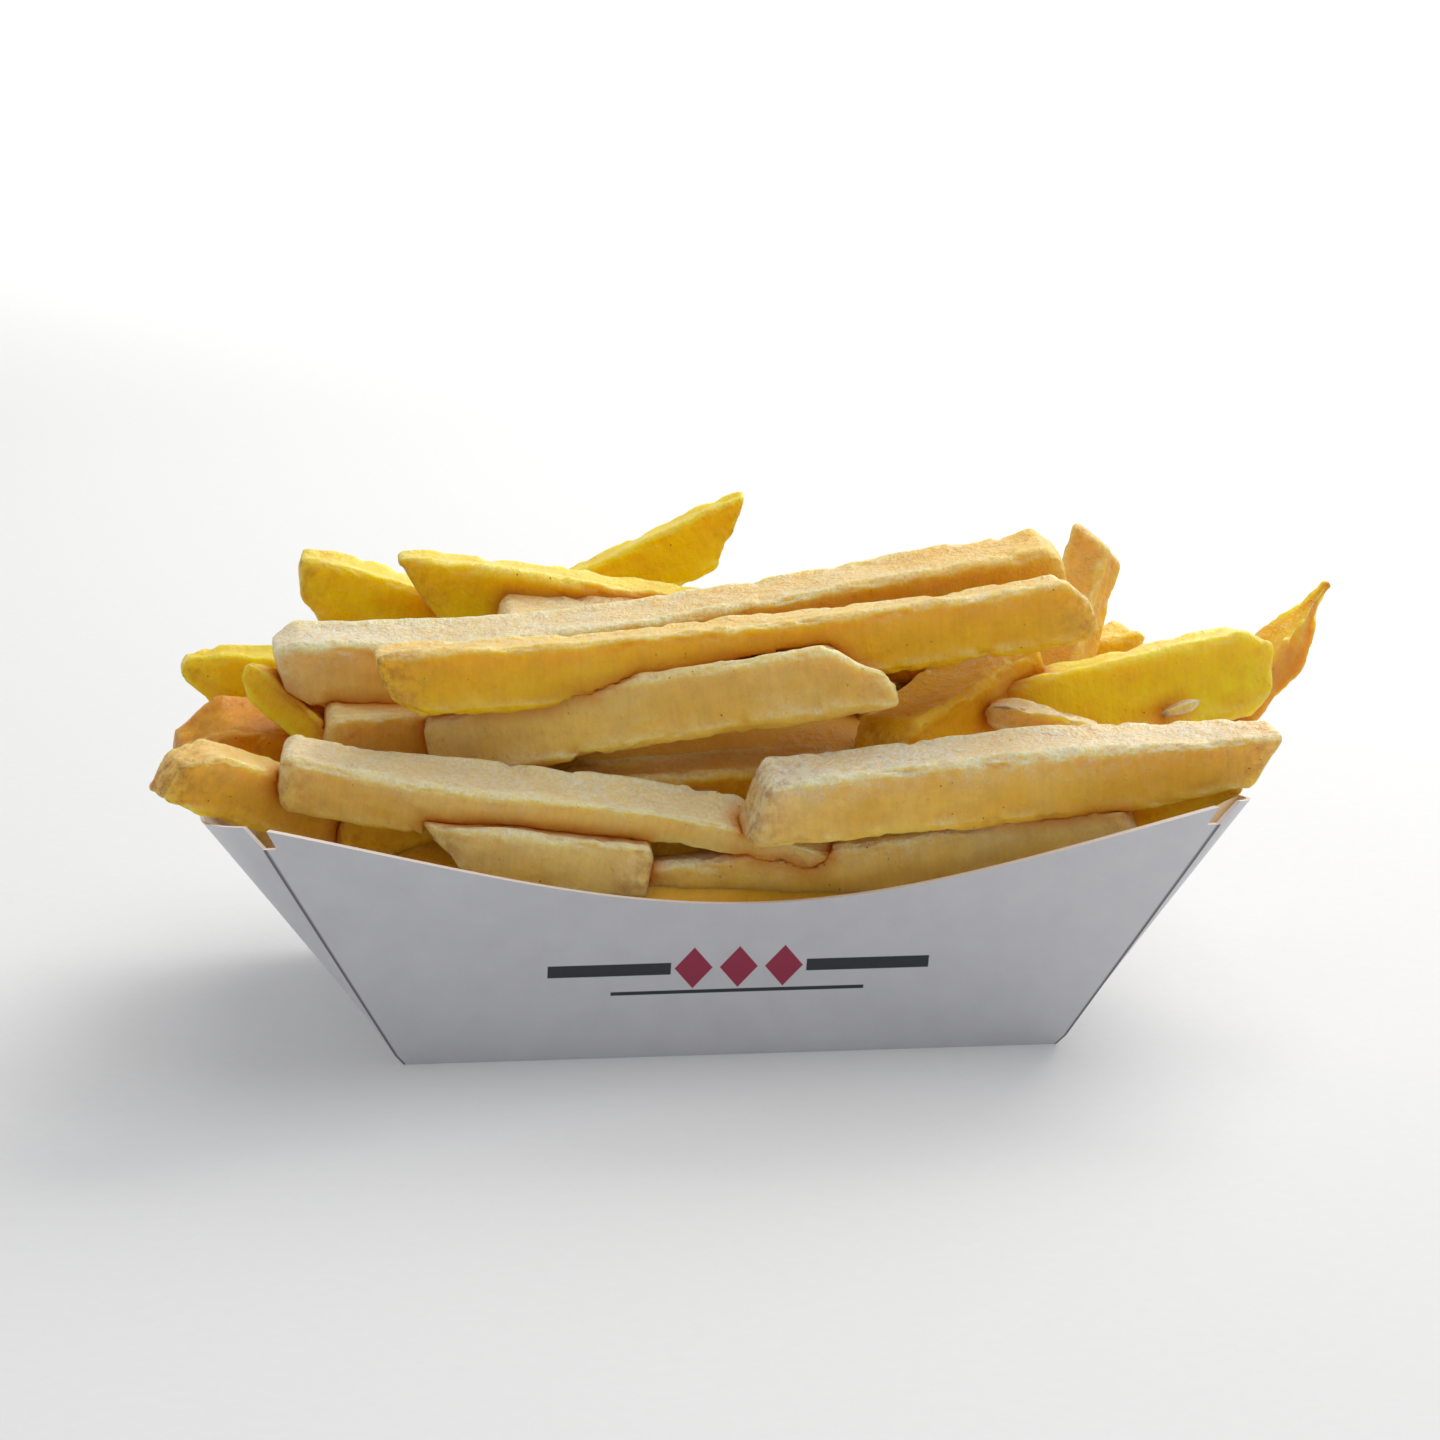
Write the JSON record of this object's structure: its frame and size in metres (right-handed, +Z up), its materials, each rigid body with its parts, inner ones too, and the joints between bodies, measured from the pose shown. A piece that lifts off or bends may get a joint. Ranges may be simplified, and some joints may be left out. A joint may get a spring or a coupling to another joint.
{
  "type": "french fries in a paper tray",
  "caption": "Thick-cut french fries heaped in a folded white paperboard tray with a dipped front lip, bowed ends and a plain printed mark.",
  "frame": {"origin": "middle of the tray's bottom, on the surface that it stands on", "axes": "+X along the tray's length to the right as seen from the front, -Y out of the printed front, +Z up"},
  "size_m": [0.1786, 0.1016, 0.0709],
  "materials": {
    "fries": "fried potato, cream to golden yellow, lightly oiled",
    "tray": "white clay-coated paperboard, plain white inside"
  },
  "bodies": {
    "root": {"fries": "fries", "tray": "tray"}
  },
  "joints": []
}
